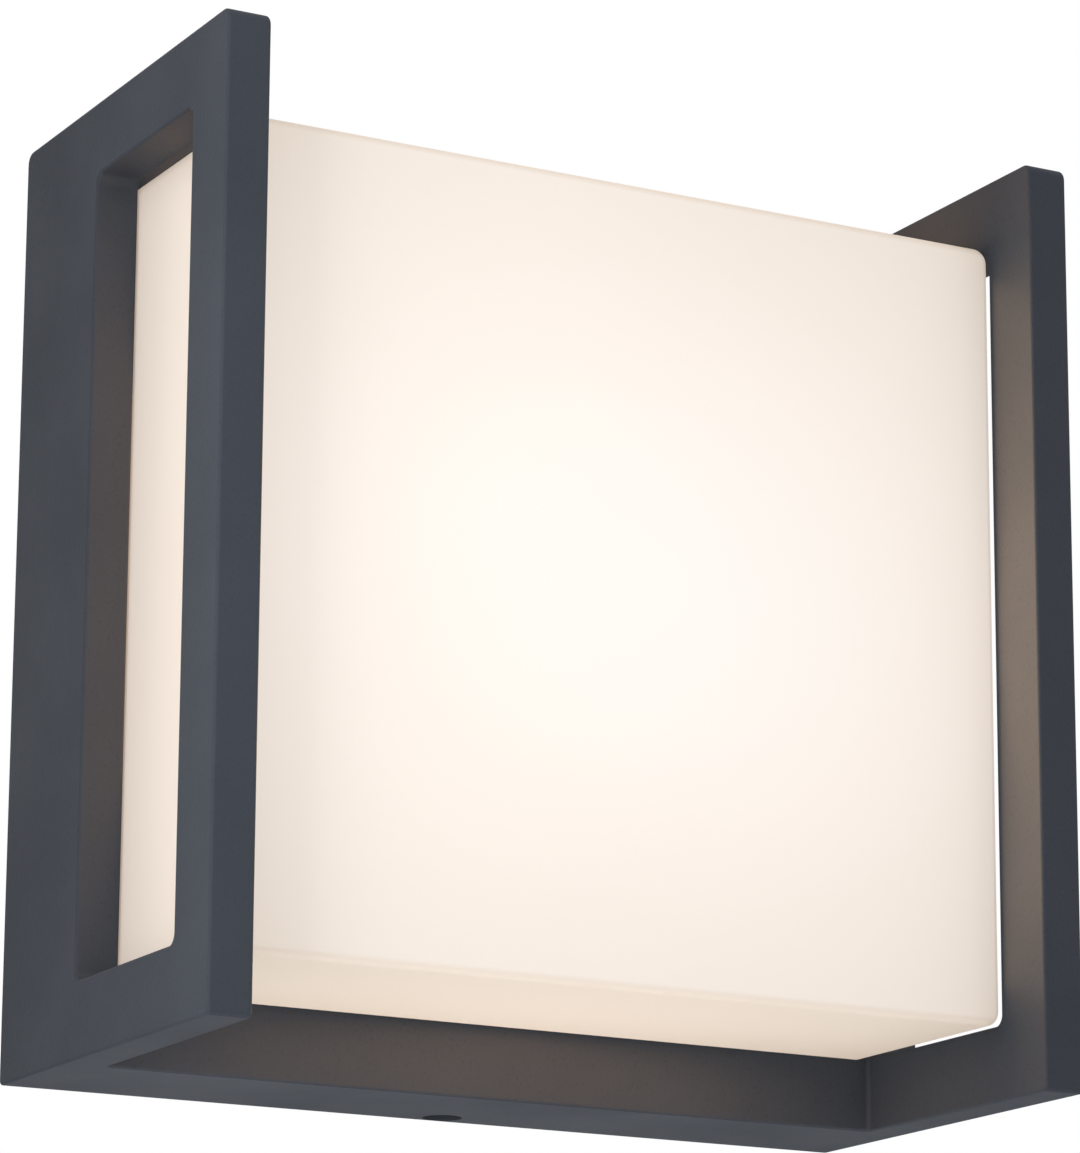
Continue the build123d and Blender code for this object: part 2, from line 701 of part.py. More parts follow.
# ---- Terminal block -----------------------------------------------------------------------------------
poles = [block_x + place * pole_pitch for place in (-1, 0, 1)]
grips = [(x, block_z + side * grip_at) for x in poles for side in (-1, 1)]
with BuildPart() as terminal_block:
    with BuildSketch(Plane.XZ.offset(floor_depth)):
        with Locations((block_x, block_z)):
            RectangleRounded(block_w, block_h, block_r)
        with Locations((block_x - pole_pitch / 2, block_z), (block_x + pole_pitch / 2, block_z)):
            Circle(m3_r + pass_gap, mode=Mode.SUBTRACT)
    extrude(amount=-block_t)
    with BuildSketch(Plane.XY.offset(block_z - block_h / 2)):
        with Locations(*[(x, -clamp_depth) for x in poles]):
            Rectangle(clamp_w + 2 * thread_gap, clamp_t + 2 * thread_gap)
    extrude(amount=block_h, mode=Mode.SUBTRACT)
    with BuildSketch(Plane.XZ.offset(floor_depth - block_t)):
        with Locations(*grips):
            Circle(grip_r + 2 * pass_gap)
        with Locations((block_x - pole_pitch / 2, block_z), (block_x + pole_pitch / 2, block_z)):
            Circle(m3_head_r + pass_gap)
    extrude(amount=m3_head_h + pass_gap, mode=Mode.SUBTRACT)
    with BuildSketch(Plane.XZ.offset(floor_depth - block_t)):
        with Locations(*grips):
            Circle(grip_r + 2 * pass_gap)
    extrude(amount=block_t / 2, mode=Mode.SUBTRACT)
save(terminal_block, "terminal_block")

with BuildPart() as terminal_clamps:
    with BuildSketch(Plane.XY.offset(block_z - clamp_l / 2)):
        with Locations(*[(x, -clamp_depth) for x in poles]):
            Rectangle(clamp_w, clamp_t)
            Circle(clamp_bore_r, mode=Mode.SUBTRACT)
    extrude(amount=clamp_l)
    with BuildSketch(Plane.XZ.offset(clamp_depth)):
        with Locations(*grips):
            Circle(grip_r + thread_gap)
    extrude(amount=-clamp_t, mode=Mode.SUBTRACT)
save(terminal_clamps, "terminal_clamps")

# clamping screws, their points on the wires
with BuildPart() as terminal_screws:
    with BuildSketch(Plane.XZ.offset(clamp_depth - wire_r)):
        with Locations(*grips):
            Circle(grip_r)
    extrude(amount=-grip_l)
    with BuildSketch(Plane.XZ.offset(clamp_depth - wire_r - grip_l)):
        with Locations(*grips):
            Rectangle(2 * grip_r, grip_r * 0.35)
    extrude(amount=grip_r * 0.6, mode=Mode.SUBTRACT)
save(terminal_screws, "terminal_screws")

with BuildPart() as terminal_block_screws:
    seats = [facing_wall(block_x + side * pole_pitch / 2, floor_depth - block_t + m3_head_h + pass_gap, block_z)
             for side in (-1, 1)]
    with Locations(*seats):
        add(pan_screw(m3_r, block_t - m3_head_h - pass_gap + fixing_bite, m3_head_r, m3_head_h))
save(terminal_block_screws, "terminal_block_screws")

# ---- Earth point --------------------------------------------------------------------------------------
with BuildPart() as earth_lug:
    with BuildSketch(Plane.XZ.offset(earth_seat)):
        with Locations((earth_x, earth_z)):
            Circle(lug_r)
        with Locations((earth_x, (earth_z + lug_barrel_z + lug_t) / 2)):
            Rectangle(2 * lug_barrel_r, lug_barrel_z + lug_t - earth_z)
        with Locations((earth_x, earth_z)):
            Circle(earth_r + pass_gap, mode=Mode.SUBTRACT)
    extrude(amount=-lug_t)
    with BuildSketch(Plane.XY.offset(lug_barrel_z)):
        with Locations((earth_x, -lug_wire_depth)):
            Circle(lug_barrel_r)
    extrude(amount=lug_barrel_l)
    with BuildSketch(Plane.XY.offset(lug_end_z)):
        with Locations((earth_x, -lug_wire_depth)):
            Circle(wire_r + thread_gap)
    extrude(amount=-0.8 * lug_barrel_l, mode=Mode.SUBTRACT)
save(earth_lug, "earth_lug")

with BuildPart() as earth_washer:
    with BuildSketch(Plane.XZ.offset(lug_top)):
        with Locations((earth_x, earth_z)):
            Circle(washer_r)
            with PolarLocations(washer_r, washer_teeth):
                Rectangle(2 * notch_deep, notch_w, mode=Mode.SUBTRACT)
            Circle(earth_r + pass_gap, mode=Mode.SUBTRACT)
    extrude(amount=-washer_t)
save(earth_washer, "earth_washer")

with BuildPart() as earth_screw:
    with Locations(facing_wall(earth_x, washer_top, earth_z)):
        add(pan_screw(earth_r, earth_l, earth_head_r, earth_head_h))
save(earth_screw, "earth_screw")

# ---- Wiring -------------------------------------------------------------------------------------------
# Each wire starts under its clamping screw and ends over the driver's board or in the earth lug.
wire_start_z = block_z + grip_at - grip_r
wire_end_z = case_bottom_z + case_t + lead_inside
rise = case_bottom_z - block_top_z
wire_neutral = insulated_wire(
    [(poles[1], clamp_depth, wire_start_z),
     (poles[1], clamp_depth, block_top_z + rise * 0.25),
     (mains_holes[0], lead_depth, case_bottom_z - rise * 0.3),
     (mains_holes[0], lead_depth, wire_end_z)], wire_r)
save(wire_neutral, "wire_neutral")

wire_live = insulated_wire(
    [(poles[2], clamp_depth, wire_start_z),
     (poles[2], clamp_depth, block_top_z + rise * 0.3),
     (mains_holes[1], lead_depth, case_bottom_z - rise * 0.25),
     (mains_holes[1], lead_depth, wire_end_z)], wire_r)
save(wire_live, "wire_live")

wire_earth = insulated_wire(
    [(poles[0], clamp_depth, wire_start_z),
     (poles[0], clamp_depth, block_top_z + rise * 0.3),
     ((poles[0] + earth_x) / 2, (clamp_depth + lug_wire_depth) / 2, block_top_z + rise * 0.5),
     (earth_x, lug_wire_depth, lug_end_z + rise * 0.4),
     (earth_x, lug_wire_depth, lug_end_z - 0.75 * lug_barrel_l)], wire_r)
save(wire_earth, "wire_earth")

# leads from the driver through the grommet to the connector on the LED board
for name, (x, side) in zip(("led_lead_black", "led_lead_red"), plug_leads):
    drop = case_bottom_z - lead_z
    lead = insulated_wire(
        [(x, lead_depth, wire_end_z),
         (x, lead_depth, case_bottom_z - drop * 0.1),
         (x + side * lead_spread, lead_depth - lead_sag, case_bottom_z - drop * 0.4),
         (x, lead_depth - lead_low_sag, case_bottom_z - drop * 0.72),
         (x, lead_depth - lead_low_sag, lead_z),
         (x, plug_lead_depth, lead_z),
         (x, plug_lead_depth, plug_z)],
        lead_r, last_bend=plug_lead_depth - box_depth - grommet_flange_t)
    save(lead, name)
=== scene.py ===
# Square LED wall lantern. Metres, +Z up, +Y into the wall, origin at the middle of the wall face.
import bpy
import json
import math
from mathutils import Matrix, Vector

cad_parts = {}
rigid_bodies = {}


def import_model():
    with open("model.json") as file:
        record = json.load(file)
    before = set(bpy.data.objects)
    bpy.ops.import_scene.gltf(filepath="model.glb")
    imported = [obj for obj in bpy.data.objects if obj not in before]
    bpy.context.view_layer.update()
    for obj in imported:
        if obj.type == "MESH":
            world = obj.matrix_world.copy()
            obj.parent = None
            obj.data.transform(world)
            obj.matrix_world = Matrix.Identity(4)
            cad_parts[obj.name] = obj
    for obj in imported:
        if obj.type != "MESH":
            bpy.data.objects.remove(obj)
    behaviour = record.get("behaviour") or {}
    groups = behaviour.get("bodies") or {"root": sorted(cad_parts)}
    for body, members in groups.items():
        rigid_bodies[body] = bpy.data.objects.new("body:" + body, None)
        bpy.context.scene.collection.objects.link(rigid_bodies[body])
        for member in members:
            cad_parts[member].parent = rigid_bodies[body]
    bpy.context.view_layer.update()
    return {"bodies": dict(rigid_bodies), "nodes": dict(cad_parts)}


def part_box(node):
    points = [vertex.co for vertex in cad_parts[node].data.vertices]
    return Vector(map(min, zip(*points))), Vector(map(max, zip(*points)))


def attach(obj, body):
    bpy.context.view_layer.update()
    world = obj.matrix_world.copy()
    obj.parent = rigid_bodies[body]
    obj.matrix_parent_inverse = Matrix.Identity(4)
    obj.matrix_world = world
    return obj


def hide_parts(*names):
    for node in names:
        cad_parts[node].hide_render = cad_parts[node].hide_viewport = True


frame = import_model()
scene = bpy.context.scene
scene.view_settings.view_transform = "Standard"

# ---- Viewpoint ----------------------------------------------------------------------------------------
# A camera with a long lens, below the lantern and to its left, looking up at it. Its frame is shifted a
# little, so that the whole lantern is in it.
view_data = bpy.data.cameras.new("view_from_below_left")
view_data.sensor_width = 36.0
view_data.lens = 154.857
view_data.shift_x = -0.0520
view_data.shift_y = 0.0603
view_data.clip_start = 0.05
view_data.clip_end = 30.0
viewer = bpy.data.objects.new("view_from_below_left", view_data)
viewer.location = (-0.37350, -0.73030, -0.19785)
viewer.rotation_euler = [math.radians(turn) for turn in (103.804, -0.135, -29.111)]
scene.collection.objects.link(viewer)
scene.camera = viewer

# ---- Studio -------------------------------------------------------------------------------------------
# A pale room with even light from all round, large soft boxes on every side, and two narrow strips close to
# the lantern. Glossy and clear surfaces see the same white surroundings as the viewer does.
room_light = 0.50
room_tint = (0.97, 0.98, 1.0, 1.0)
pure_white = (1.0, 1.0, 1.0, 1.0)
floor_height = -1.3
floor_half = 9.0
floor_lift = 0.40


def linear(red, green, blue):
    """Scene colour of an 8-bit colour."""
    parts = [value / 255 for value in (red, green, blue)]
    return tuple(p / 12.92 if p <= 0.04045 else ((p + 0.055) / 1.055) ** 2.4 for p in parts) + (1.0,)


def wire_up(tree, source, target):
    """Join two sockets of a node tree."""
    tree.links.new(target, source)


def add_node(tree, kind, settings=None, inputs=None):
    """Node with its settings, each input given a plain value or joined to another node's output."""
    node = tree.nodes.new(kind)
    for key, value in (settings or {}).items():
        setattr(node, key, value)
    for key, value in (inputs or {}).items():
        if isinstance(value, bpy.types.NodeSocket):
            tree.links.new(value, node.inputs[key])
        else:
            node.inputs[key].default_value = value
    return node


def maths(tree, operation, *values):
    """Result of a sum on sockets or numbers."""
    return add_node(tree, "ShaderNodeMath", {"operation": operation}, dict(enumerate(values))).outputs[0]


def fresh_material(name, sockets):
    """Material with only a Principled shader in it, and that shader's plain values set."""
    material = bpy.data.materials.new(name)
    material.use_nodes = True
    shader = material.node_tree.nodes["Principled BSDF"]
    for label, value in sockets.items():
        shader.inputs[label].default_value = value
    return material, material.node_tree, shader


def flat_lamp(name, shape, place, way, wide, tall, power):
    """Flat lamp that faces one way, and that the viewer doesn't see."""
    lamp_data = bpy.data.lights.new(name, "AREA")
    lamp_data.shape = shape
    lamp_data.size = wide
    lamp_data.size_y = tall
    lamp_data.energy = power
    lamp = bpy.data.objects.new(name, lamp_data)
    lamp.location = place
    lamp.rotation_euler = Vector(way).to_track_quat("-Z", "Y").to_euler()
    lamp.visible_camera = False
    scene.collection.objects.link(lamp)
    return lamp


world = bpy.data.worlds.new("pale_room")
world.use_nodes = True
scene.world = world
room = world.node_tree
room.nodes.clear()
even = add_node(room, "ShaderNodeBackground", inputs={"Color": room_tint, "Strength": room_light})
white = add_node(room, "ShaderNodeBackground", inputs={"Color": pure_white, "Strength": 1.0})
seen = add_node(room, "ShaderNodeLightPath").outputs
looked_at = maths(room, "MAXIMUM", seen["Is Camera Ray"], seen["Is Glossy Ray"])
looked_at = maths(room, "MAXIMUM", looked_at, seen["Is Transmission Ray"])
pick = add_node(room, "ShaderNodeMixShader", inputs={0: looked_at, 1: even.outputs[0], 2: white.outputs[0]})
add_node(room, "ShaderNodeOutputWorld", inputs={"Surface": pick.outputs[0]})

# name, place, way it faces, width, height, power; the strips graze the left side and the underside
soft_boxes = (
    ("soft_box_left", (-2.3, -0.5, 0.1), (2.3, 0.5, -0.1), 1.6, 1.6, 2.7),
    ("soft_box_low", (-0.7, -1.3, -1.15), (0.7, 1.3, 1.15), 1.4, 1.4, 4.2),
    ("soft_box_top", (0.4, -0.4, 2.2), (-0.4, 0.4, -2.2), 1.6, 1.6, 8.0),
    ("soft_box_right", (2.3, -0.5, 0.4), (-2.3, 0.5, -0.4), 1.6, 1.6, 3.0),
    ("soft_box_front", (0.4, -2.4, 0.8), (-0.4, 2.4, -0.8), 1.6, 1.6, 13.0),
    ("soft_box_back", (0.5, 2.3, 0.5), (-0.5, -2.3, -0.5), 1.6, 1.6, 14.0),
    ("strip_left", (-0.145, -0.115, 0.0), (1.0, 0.25, 0.0), 0.05, 0.26, 0.138),
    ("strip_low", (-0.02, -0.06, -0.22), (0.0, 0.0, 1.0), 0.26, 0.05, 0.165),
)
for name, place, way, wide, tall, power in soft_boxes:
    flat_lamp(name, "RECTANGLE", place, way, wide, tall, power).visible_glossy = False

floor_mesh = bpy.data.meshes.new("pale_floor")
corners = [(x * floor_half, y * floor_half, floor_height) for x, y in ((-1, -1), (1, -1), (1, 1), (-1, 1))]
floor_mesh.from_pydata(corners, [], [(0, 1, 2, 3)])
ground = bpy.data.objects.new("pale_floor", floor_mesh)
scene.collection.objects.link(ground)
floor_paint, tree, shader = fresh_material("pale_floor_paint", {
    "Base Color": linear(236, 236, 236), "Roughness": 0.9, "Specular IOR Level": 0.1,
    "Emission Color": pure_white})
# the floor looks as pale as the room to the viewer, and keeps the shadow on it
seen = add_node(tree, "ShaderNodeLightPath").outputs
wire_up(tree, maths(tree, "MULTIPLY", seen["Is Camera Ray"], floor_lift), shader.inputs["Emission Strength"])
floor_mesh.materials.append(floor_paint)

# ---- Wall bracket -------------------------------------------------------------------------------------
# The steel plate that is screwed to the wall and carries the lantern. It is punched and bent from 1.5 mm
# sheet, then zinc plated to a slightly bluish grey, with the cloudy patches and fine marks of plating.
mark_share = 0.35
tone_span = (0.50, 0.85)
patch_span = (0.3, 0.7)


def new_group(name, kind, inputs, outputs):
    """Empty node group with named inputs (name, socket type, value) and outputs (name, socket type)."""
    group = bpy.data.node_groups.new(name, kind)
    for label, socket, value in inputs:
        made = group.interface.new_socket(label, in_out="INPUT", socket_type=socket)
        if value is not None:
            made.default_value = value
    for label, socket in outputs:
        group.interface.new_socket(label, in_out="OUTPUT", socket_type=socket)
    return group, group.nodes.new("NodeGroupInput"), group.nodes.new("NodeGroupOutput")


def ranged(tree, value, start, end, first=0.0, last=1.0, kind="LINEAR"):
    """A value between start and end, spread from first to last."""
    return add_node(tree, "ShaderNodeMapRange", {"interpolation_type": kind}, {
        "Value": value, "From Min": start, "From Max": end, "To Min": first, "To Max": last}).outputs[0]


def blend(tree, share, first, second):
    """Colour that goes from the first to the second as the share grows."""
    return add_node(tree, "ShaderNodeMix", {"data_type": "RGBA"}, {
        "Factor": share, "A": first, "B": second}).outputs["Result"]


def surface(tree, shader, colour, height, strength, depth):
    """Give a shader its colour and its relief."""
    relief = add_node(tree, "ShaderNodeBump", inputs={
        "Height": height, "Strength": strength, "Distance": depth})
    wire_up(tree, colour, shader.inputs["Base Color"])
    wire_up(tree, relief.outputs[0], shader.inputs["Normal"])


# cloudy patches and fine parallel marks, for every bare or plated metal
metal_marks, given, out = new_group(
    "metal_marks", "ShaderNodeTree",
    [("Patch Scale", "NodeSocketFloat", 60.0), ("Mark Scale", "NodeSocketFloat", 900.0),
     ("Stretch", "NodeSocketVector", (1.0, 1.0, 0.06))],
    [("Patches", "NodeSocketFloat"), ("Marks", "NodeSocketFloat")])
where = add_node(metal_marks, "ShaderNodeTexCoord").outputs["Object"]
patches = add_node(metal_marks, "ShaderNodeTexNoise", inputs={
    "Vector": where, "Scale": given.outputs["Patch Scale"], "Detail": 5.0, "Roughness": 0.6})
drawn = add_node(metal_marks, "ShaderNodeVectorMath", {"operation": "MULTIPLY"}, {
    0: where, 1: given.outputs["Stretch"]})
marks = add_node(metal_marks, "ShaderNodeTexNoise", inputs={
    "Vector": drawn.outputs[0], "Scale": given.outputs["Mark Scale"], "Detail": 3.0, "Roughness": 0.55})
wire_up(metal_marks, patches.outputs[0], out.inputs["Patches"])
wire_up(metal_marks, marks.outputs[0], out.inputs["Marks"])


def metal_finish(name, light, dark, rough, patch_scale, mark_scale, stretch, bump):
    """Metal whose tone and gloss follow its patches and marks. rough is the smoothest and the roughest."""
    material, tree, shader = fresh_material(name, {"Metallic": 1.0})
    worn = add_node(tree, "ShaderNodeGroup", {"node_tree": metal_marks}, {
        "Patch Scale": patch_scale, "Mark Scale": mark_scale, "Stretch": stretch}).outputs
    tone = maths(tree, "MULTIPLY_ADD", worn["Marks"], mark_share, worn["Patches"])
    gloss = ranged(tree, worn["Patches"], *patch_span, rough[1], rough[0])
    wire_up(tree, gloss, shader.inputs["Roughness"])
    colour = blend(tree, ranged(tree, tone, *tone_span), dark, light)
    surface(tree, shader, colour, worn["Marks"], strength=0.5, depth=bump)
    return material


def dress(node, material):
    """Give a carried-over part its finish."""
    part = frame["nodes"][node]
    if not part.material_slots:
        part.data.materials.append(material)
    for held in part.material_slots:
        held.material = material


zinc = metal_finish("zinc_plating", linear(198, 201, 205), linear(172, 177, 184), rough=(0.30, 0.46),
                    patch_scale=55.0, mark_scale=1400.0, stretch=(1.0, 1.0, 0.08), bump=0.00002)
dress("wall_bracket", zinc)

# ---- Cable bush and wall gasket -----------------------------------------------------------------------
# The bush is a moulded rubber ring pressed into the bracket's cable hole. The gasket is a frame die-cut
# from closed-cell foam and glued to the rim of the casting, where it seals against the wall.
cell_depth = -0.5
# grain levels over which the painted shade in the pits comes in, and its share of the darkening
pit_shade_span = (0.45, 0.25)
pit_shade_share = 0.5

# fine moulded or sprayed texture: small grains, broad unevenness, and painted shade in the pits where the
# grains dip deepest
fine_texture, given, out = new_group(
    "fine_texture", "ShaderNodeTree",
    [("Grain Scale", "NodeSocketFloat", 2200.0), ("Cloud Scale", "NodeSocketFloat", 40.0)],
    [("Height", "NodeSocketFloat"), ("Clouds", "NodeSocketFloat"), ("Pit Shade", "NodeSocketFloat")])
where = add_node(fine_texture, "ShaderNodeTexCoord").outputs["Object"]
grains = add_node(fine_texture, "ShaderNodeTexNoise", inputs={
    "Vector": where, "Scale": given.outputs["Grain Scale"], "Detail": 2.0, "Roughness": 0.5}).outputs[0]
cells = add_node(fine_texture, "ShaderNodeTexVoronoi", inputs={
    "Vector": where, "Scale": given.outputs["Grain Scale"]}).outputs["Distance"]
clouds = add_node(fine_texture, "ShaderNodeTexNoise", inputs={
    "Vector": where, "Scale": given.outputs["Cloud Scale"], "Detail": 4.0, "Roughness": 0.55}).outputs[0]
wire_up(fine_texture, maths(fine_texture, "MULTIPLY_ADD", cells, cell_depth, grains), out.inputs["Height"])
wire_up(fine_texture, clouds, out.inputs["Clouds"])
wire_up(fine_texture, ranged(fine_texture, grains, *pit_shade_span), out.inputs["Pit Shade"])


def fine_skin(tree, grain_scale, cloud_scale):
    """Outputs of the fine texture at these scales."""
    return add_node(tree, "ShaderNodeGroup", {"node_tree": fine_texture}, {
        "Grain Scale": grain_scale, "Cloud Scale": cloud_scale}).outputs


def moulded_finish(name, light, dark, rough, grain_scale, cloud_scale, bump, specular=0.5):
    """Moulded or coated surface, with painted shade in its pits and a little uneven in gloss."""
    material, tree, shader = fresh_material(name, {"Specular IOR Level": specular})
    skin = fine_skin(tree, grain_scale, cloud_scale)
    # painted shade in the pits where the grains dip, added to the uneven tone of the broad clouds
    shade = add_node(tree, "ShaderNodeMath", {"operation": "MULTIPLY_ADD", "use_clamp": True}, {
        0: skin["Pit Shade"], 1: pit_shade_share, 2: skin["Clouds"]}).outputs[0]
    wire_up(tree, ranged(tree, skin["Clouds"], *patch_span, *rough), shader.inputs["Roughness"])
    surface(tree, shader, blend(tree, shade, light, dark), skin["Height"], strength=0.6, depth=bump)
    return material


rubber = moulded_finish("moulded_rubber", linear(38, 38, 39), linear(22, 22, 23), rough=(0.60, 0.72),
                        grain_scale=2600.0, cloud_scale=90.0, bump=0.00003)
foam = moulded_finish("cellular_foam", linear(44, 44, 45), linear(14, 14, 15), rough=(0.88, 0.97),
                      grain_scale=1500.0, cloud_scale=120.0, bump=0.00022, specular=0.2)
dress("cable_bush", rubber)
dress("wall_gasket", foam)

# ---- Housing ------------------------------------------------------------------------------------------
# One aluminium die casting, blasted and powder coated in anthracite. The coat has a fine, dry texture with
# a low gloss.
coat = moulded_finish("anthracite_powder_coat", linear(64, 68, 75), linear(54, 58, 65), rough=(0.54, 0.64),
                      grain_scale=1900.0, cloud_scale=26.0, bump=0.00006, specular=0.10)
dress("housing", coat)

# ---- Screws -------------------------------------------------------------------------------------------
# Stainless pan-head screws with a cross recess, cold headed and with rolled threads, hold the diffuser,
# driver, LED board and terminal block. The earth screw is a larger one, and the locking screw has a slotted
# cheese head.
crown_power = 4.0
point_length = 0.4
point_width = 0.6
spin_seed = 7
crisp_head = 35


def geometry_group(name, inputs):
    """Geometry node group that takes and gives a geometry, with named size inputs after it."""
    sockets = [("Geometry", "NodeSocketGeometry", None)] + inputs
    return new_group(name, "GeometryNodeTree", sockets, [("Geometry", "NodeSocketGeometry")])


def triple(tree, x, y, z):
    """Vector of three sockets or numbers."""
    return add_node(tree, "ShaderNodeCombineXYZ", inputs={0: x, 1: y, 2: z}).outputs[0]


def shifted(tree, geometry, z):
    """A geometry moved along Z."""
    return add_node(tree, "GeometryNodeTransform", inputs={
        "Geometry": geometry, "Translation": triple(tree, 0, 0, z)}).outputs[0]


screw_tree, given, out = geometry_group("machine_screw", [
    ("Head Radius", "NodeSocketFloat", 0.00275), ("Head Height", "NodeSocketFloat", 0.0020),
    ("Crown", "NodeSocketFloat", 0.4), ("Shank Radius", "NodeSocketFloat", 0.00145),
    ("Shank Length", "NodeSocketFloat", 0.006), ("Pitch", "NodeSocketFloat", 0.0005),
    ("Recess Width", "NodeSocketFloat", 0.0007), ("Recess Length", "NodeSocketFloat", 0.003),
    ("Recess Depth", "NodeSocketFloat", 0.001), ("Slotted", "NodeSocketBool", False),
    ("Turn", "NodeSocketVector", (0.0, 0.0, 0.0)), ("Material", "NodeSocketMaterial", None)])
size = given.outputs
# head: a cylinder whose top falls away towards the rim
blank = add_node(screw_tree, "GeometryNodeMeshCylinder", inputs={
    "Vertices": 48, "Side Segments": 3, "Fill Segments": 8,
    "Radius": size["Head Radius"], "Depth": size["Head Height"]})
raised = shifted(screw_tree, blank.outputs["Mesh"], maths(screw_tree, "MULTIPLY", size["Head Height"], 0.5))
at = add_node(screw_tree, "GeometryNodeInputPosition")
parts = add_node(screw_tree, "ShaderNodeSeparateXYZ", inputs={0: at.outputs[0]}).outputs
flat = triple(screw_tree, parts[0], parts[1], 0)
reach = add_node(screw_tree, "ShaderNodeVectorMath", {"operation": "LENGTH"}, {0: flat}).outputs["Value"]
share = maths(screw_tree, "DIVIDE", reach, size["Head Radius"])
fall = maths(screw_tree, "MULTIPLY", maths(screw_tree, "POWER", share, crown_power), size["Crown"])
lowered = maths(screw_tree, "MULTIPLY", parts[2], maths(screw_tree, "SUBTRACT", 1.0, fall))
crowned = add_node(screw_tree, "GeometryNodeSetPosition", inputs={
    "Geometry": raised, "Position": triple(screw_tree, parts[0], parts[1], lowered)})
# recess: one long cutter for a slot, and a second across it for a cross
cut_height = maths(screw_tree, "MULTIPLY", size["Recess Depth"], 2.0)
cutter = add_node(screw_tree, "GeometryNodeMeshCube", inputs={
    "Size": triple(screw_tree, size["Recess Length"], size["Recess Width"], cut_height)})
crossing = add_node(screw_tree, "GeometryNodeMeshCube", inputs={
    "Size": triple(screw_tree, size["Recess Width"], size["Recess Length"], cut_height)})
cross = add_node(screw_tree, "GeometryNodeMeshBoolean", {"operation": "UNION", "solver": "EXACT"})
wire_up(screw_tree, cutter.outputs["Mesh"], cross.inputs["Mesh 2"])
wire_up(screw_tree, crossing.outputs["Mesh"], cross.inputs["Mesh 2"])
choice = add_node(screw_tree, "GeometryNodeSwitch", {"input_type": "GEOMETRY"}, {
    "Switch": size["Slotted"], "False": cross.outputs["Mesh"], "True": cutter.outputs["Mesh"]})
placed = shifted(screw_tree, choice.outputs[0], size["Head Height"])
head = add_node(screw_tree, "GeometryNodeMeshBoolean", {"operation": "DIFFERENCE", "solver": "EXACT"}, {
    "Mesh 1": crowned.outputs[0]})
wire_up(screw_tree, placed, head.inputs["Mesh 2"])
# shank: core, chamfered point and a V thread wound round the core
half_pitch = maths(screw_tree, "MULTIPLY", size["Pitch"], 0.5)
core_r = maths(screw_tree, "SUBTRACT", size["Shank Radius"], half_pitch)
point_l = maths(screw_tree, "MULTIPLY", size["Shank Radius"], point_length)
core_l = maths(screw_tree, "SUBTRACT", size["Shank Length"], point_l)
core = add_node(screw_tree, "GeometryNodeMeshCylinder", inputs={
    "Vertices": 32, "Radius": core_r, "Depth": core_l})
hung = shifted(screw_tree, core.outputs["Mesh"], maths(screw_tree, "MULTIPLY", core_l, -0.5))
point = add_node(screw_tree, "GeometryNodeMeshCone", inputs={
    "Vertices": 32, "Radius Top": core_r, "Depth": point_l,
    "Radius Bottom": maths(screw_tree, "MULTIPLY", core_r, point_width)})
tipped = shifted(screw_tree, point.outputs["Mesh"], maths(screw_tree, "MULTIPLY", size["Shank Length"], -1.0))
thread_l = maths(screw_tree, "SUBTRACT", core_l, size["Pitch"])
winding = add_node(screw_tree, "GeometryNodeCurveSpiral", inputs={
    "Resolution": 20, "Rotations": maths(screw_tree, "DIVIDE", thread_l, size["Pitch"]),
    "Height": thread_l, "Start Radius": core_r, "End Radius": core_r})
upright = add_node(screw_tree, "GeometryNodeSetCurveNormal", {"mode": "Z_UP"}, {"Curve": winding.outputs[0]})
ridge = add_node(screw_tree, "GeometryNodeCurvePrimitiveCircle", inputs={
    "Resolution": 4, "Radius": half_pitch})
thread = add_node(screw_tree, "GeometryNodeCurveToMesh", inputs={
    "Curve": upright.outputs[0], "Profile Curve": ridge.outputs[0], "Fill Caps": True})
wound = shifted(screw_tree, thread.outputs[0], maths(screw_tree, "MULTIPLY", core_l, -1.0))
whole = add_node(screw_tree, "GeometryNodeJoinGeometry")
for piece in (wound, tipped, hung, head.outputs[0]):
    wire_up(screw_tree, piece, whole.inputs[0])
# one screw on each seat, each turned a little differently; slots 3 and 8 are the largest turn and the seed
spin = add_node(screw_tree, "FunctionNodeRandomValue", {"data_type": "FLOAT"}, {3: math.tau, 8: spin_seed})
turned = add_node(screw_tree, "FunctionNodeEulerToRotation", inputs={0: size["Turn"]})
own_turn = triple(screw_tree, 0, 0, spin.outputs[1])
twist = add_node(screw_tree, "FunctionNodeEulerToRotation", inputs={0: own_turn})
facing = add_node(screw_tree, "FunctionNodeRotateRotation", {"rotation_space": "LOCAL"}, {
    0: turned.outputs[0], 1: twist.outputs[0]})
on_seats = add_node(screw_tree, "GeometryNodeInstanceOnPoints", inputs={
    "Points": size["Geometry"], "Instance": whole.outputs[0], "Rotation": facing.outputs[0]})
real = add_node(screw_tree, "GeometryNodeRealizeInstances", inputs={0: on_seats.outputs[0]})
coated = add_node(screw_tree, "GeometryNodeSetMaterial", inputs={
    "Geometry": real.outputs[0], "Material": size["Material"]})
wire_up(screw_tree, coated.outputs[0], out.inputs["Geometry"])


def grown(name, points, tree, sizes, edges=()):
    """Plain mesh piece made by a geometry node group on the given points."""
    seed = bpy.data.meshes.new(name)
    seed.from_pydata(points, list(edges), [])
    piece = bpy.data.objects.new(name, seed)
    scene.collection.objects.link(piece)
    maker = piece.modifiers.new(name, "NODES")
    maker.node_group = tree
    for item in tree.interface.items_tree:
        if item.item_type == "SOCKET" and item.in_out == "INPUT" and item.name in sizes:
            maker[item.identifier] = sizes[item.name]
    made = piece.evaluated_get(bpy.context.evaluated_depsgraph_get())
    mesh = bpy.data.meshes.new_from_object(made)
    piece.modifiers.remove(maker)
    piece.data = mesh
    bpy.data.meshes.remove(seed)
    return piece


def shade_by_angle(piece, degrees):
    """Smooth shading that keeps edges sharper than the angle crisp."""
    mesh = piece.data
    mesh.polygons.foreach_set("use_smooth", [True] * len(mesh.polygons))
    mesh.set_sharp_from_angle(angle=math.radians(degrees))


